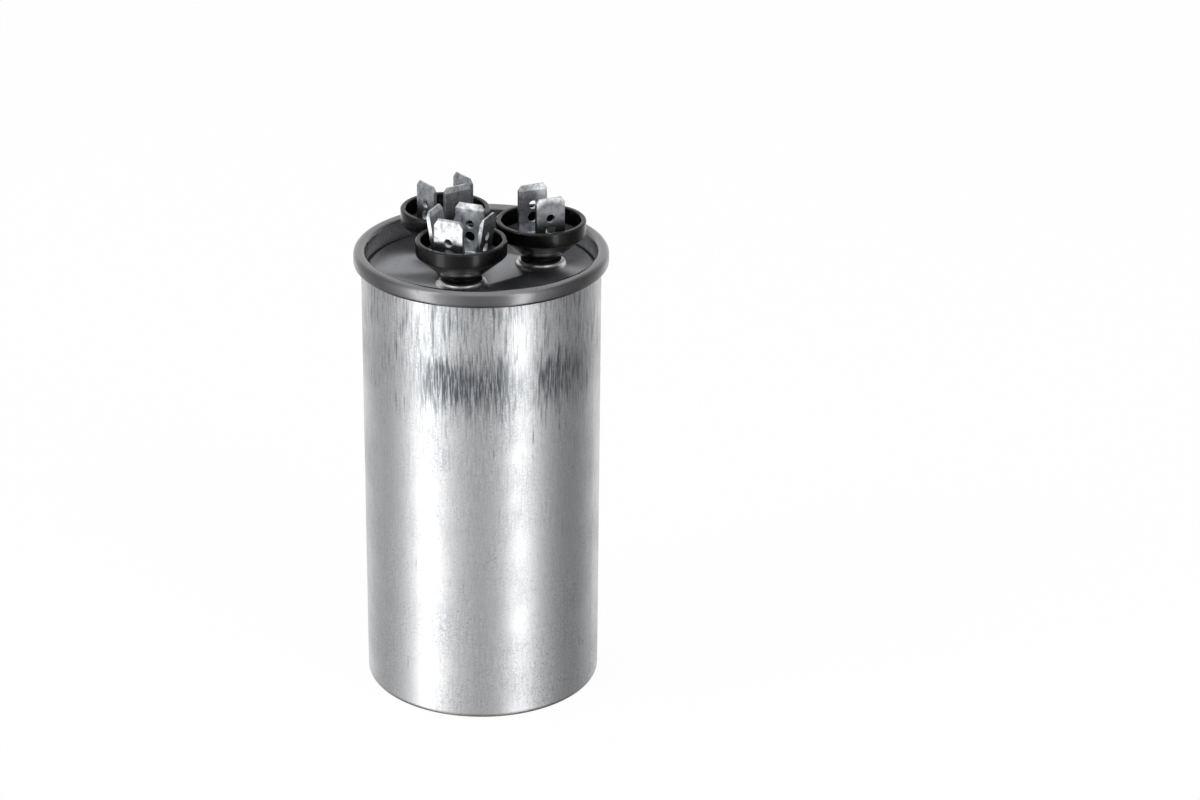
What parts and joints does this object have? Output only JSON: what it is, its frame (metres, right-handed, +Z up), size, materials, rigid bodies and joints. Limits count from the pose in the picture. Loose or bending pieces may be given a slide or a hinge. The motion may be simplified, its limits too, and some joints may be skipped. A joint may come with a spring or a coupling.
{
  "type": "motor run capacitor",
  "caption": "Dual-value motor run capacitor: a round drawn aluminium can with a rolled double seam, a recessed lid and black cups holding folded quick-connect blades.",
  "frame": {"origin": "middle of the flat base of the can", "axes": "+Z up along the can through the lid and blades; the common terminal lies towards -Y, the fan terminal towards +X and the herm terminal towards -X"},
  "size_m": [0.0532, 0.0532, 0.1095],
  "materials": {
    "can": "bare drawn aluminium with fine upright lines, scuffed",
    "lid": "dark tin-plated steel, satin",
    "compound": "dried sealing compound",
    "cup": "glossy black phenolic moulding",
    "gasket": "matt black rubber",
    "blades": "bright tin-plated steel, scratched",
    "rivet": "bright plated steel",
    "washer": "pressed board",
    "lug": "tinned brass",
    "film": "metallised film, wound",
    "zinc": "sprayed zinc, grainy",
    "inner_plastic": "natural polypropylene",
    "lead": "insulated copper wire",
    "sleeve": "wrapped insulating film"
  },
  "bodies": {
    "root": {"can": "can", "lid": "lid", "seam_compound": "compound", "common_cup": "cup", "common_gasket": "gasket", "common_blades": "blades", "common_rivet": "rivet", "common_washer": "washer", "common_lug": "lug", "herm_cup": "cup", "herm_gasket": "gasket", "herm_blades": "blades", "herm_rivet": "rivet", "herm_washer": "washer", "herm_lug": "lug", "fan_cup": "cup", "fan_gasket": "gasket", "fan_blades": "blades", "fan_rivet": "rivet", "fan_washer": "washer", "fan_lug": "lug", "insulating_sleeve": "sleeve", "bottom_pad": "inner_plastic", "main_winding": "film", "main_core": "inner_plastic", "main_lower_spray": "zinc", "main_upper_spray": "zinc", "fan_winding": "film", "fan_core": "inner_plastic", "fan_lower_spray": "zinc", "fan_upper_spray": "zinc", "top_spacer": "inner_plastic", "common_lead": "lead", "herm_lead": "lead", "fan_lead": "lead"}
  },
  "joints": []
}
